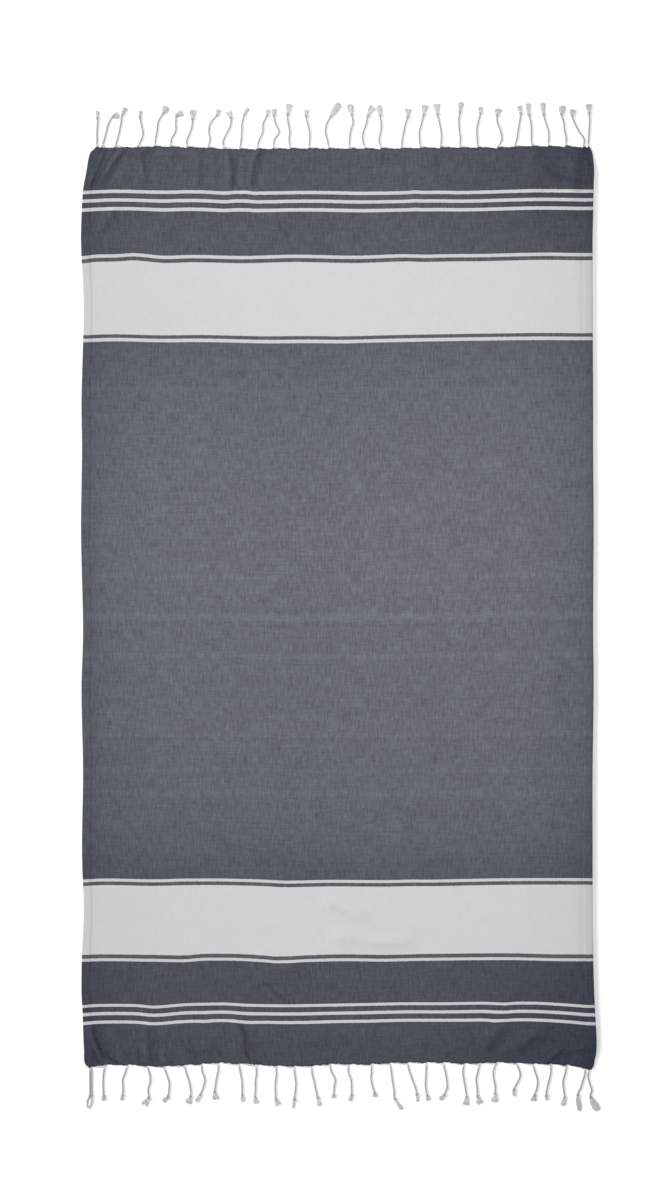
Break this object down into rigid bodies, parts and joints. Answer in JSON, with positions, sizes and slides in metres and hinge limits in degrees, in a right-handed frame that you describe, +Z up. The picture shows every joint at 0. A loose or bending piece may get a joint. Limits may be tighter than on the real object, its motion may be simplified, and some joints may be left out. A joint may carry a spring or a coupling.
{
  "type": "hammam towel",
  "caption": "Flat woven cotton hammam towel with stitched side hems, pale bands and stripes on a slate ground, and a fringe of knotted cords at each end.",
  "frame": {"origin": "on the surface the towel lies on, under the middle of the box around the cloth and both fringes", "axes": "+X across the towel to the picture's right, +Y along it to the picture's top (far fringe), +Z up off the surface"},
  "size_m": [1.017, 1.9828, 0.0063],
  "materials": {
    "slate_cotton": "flat plain weave cotton, slate blue-grey melange with off-white bands and stripes, matt",
    "undyed_cotton": "twisted undyed cotton cord, matt"
  },
  "bodies": {
    "root": {"towel_cloth": "slate_cotton", "fringe_far": "undyed_cotton", "fringe_near": "undyed_cotton"}
  },
  "joints": []
}
